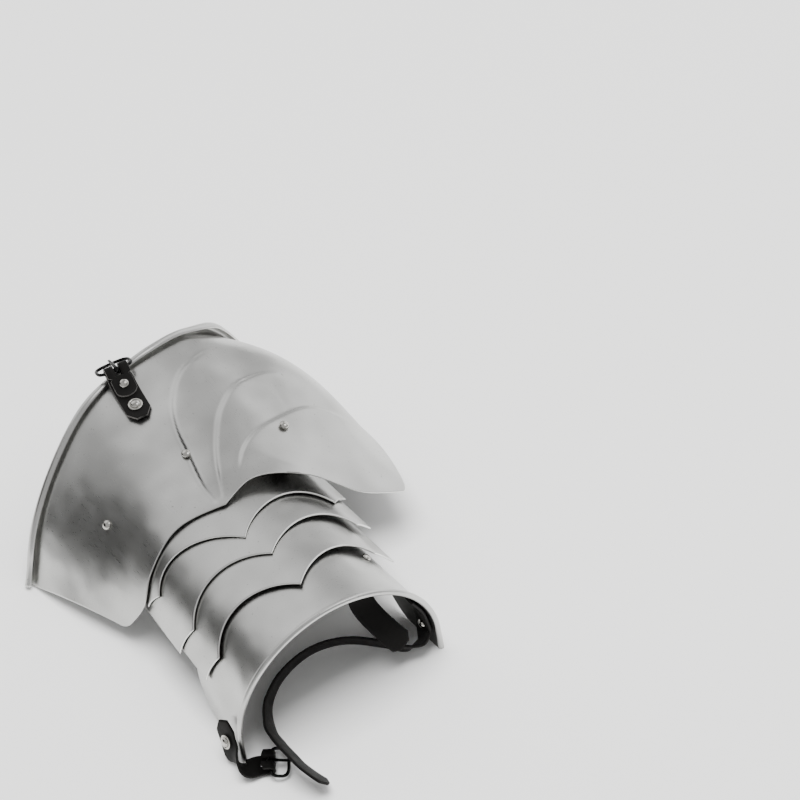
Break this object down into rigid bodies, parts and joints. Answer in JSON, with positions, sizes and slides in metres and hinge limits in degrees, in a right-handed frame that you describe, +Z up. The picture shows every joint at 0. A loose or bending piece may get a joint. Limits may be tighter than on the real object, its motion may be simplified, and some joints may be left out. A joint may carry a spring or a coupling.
{
  "type": "pauldron",
  "caption": "Steel pauldron with a fluted shoulder plate, scalloped lames and an upper-arm plate hung on inner leathers, with buckled leather tabs at neck and arm.",
  "frame": {"origin": "middle of the resting part's box, on the floor", "axes": "+X down the arm from neck to elbow, +Y across the arm to the side of the larger wing, +Z up off the floor"},
  "size_m": [0.3872, 0.2766, 0.1202],
  "materials": {
    "steel": "satin polished sheet",
    "leather": "matte black with burnished edges",
    "rivet": "polished nickel",
    "buckle": "black plated"
  },
  "bodies": {
    "armour": {"main_plate": "steel", "lame_1": "steel", "lame_2": "steel", "lame_3": "steel", "arm_cannon": "steel", "leather_left": "leather", "leather_centre": "leather", "leather_right": "leather", "plate_rivet_left": "rivet", "plate_rivet_centre": "rivet", "plate_rivet_right": "rivet", "cannon_rivet_right": "rivet", "shoulder_tab": "leather", "shoulder_tab_washer": "rivet", "shoulder_tab_rivet": "rivet", "arm_tab": "leather", "arm_buckle_frame": "buckle", "arm_buckle_tongue": "buckle", "arm_tab_washer": "rivet", "arm_strap": "leather", "arm_strap_rivet": "rivet"},
    "buckle_ring": {"shoulder_buckle_frame": "buckle"},
    "buckle_tongue": {"shoulder_buckle_tongue": "buckle"}
  },
  "joints": [
    {"name": "ring_hinge", "type": "hinge", "parent": "armour", "child": "buckle_ring", "pos_m": [-0.17198, -0.00811, 0.1158], "axis": [0.14, 0.9901, 0], "range_deg": [0, 80]},
    {"name": "tongue_hinge", "type": "hinge", "parent": "buckle_ring", "child": "buckle_tongue", "pos_m": [-0.17198, -0.00811, 0.1158], "axis": [0.14, 0.9901, 0], "range_deg": [0, 60]}
  ]
}
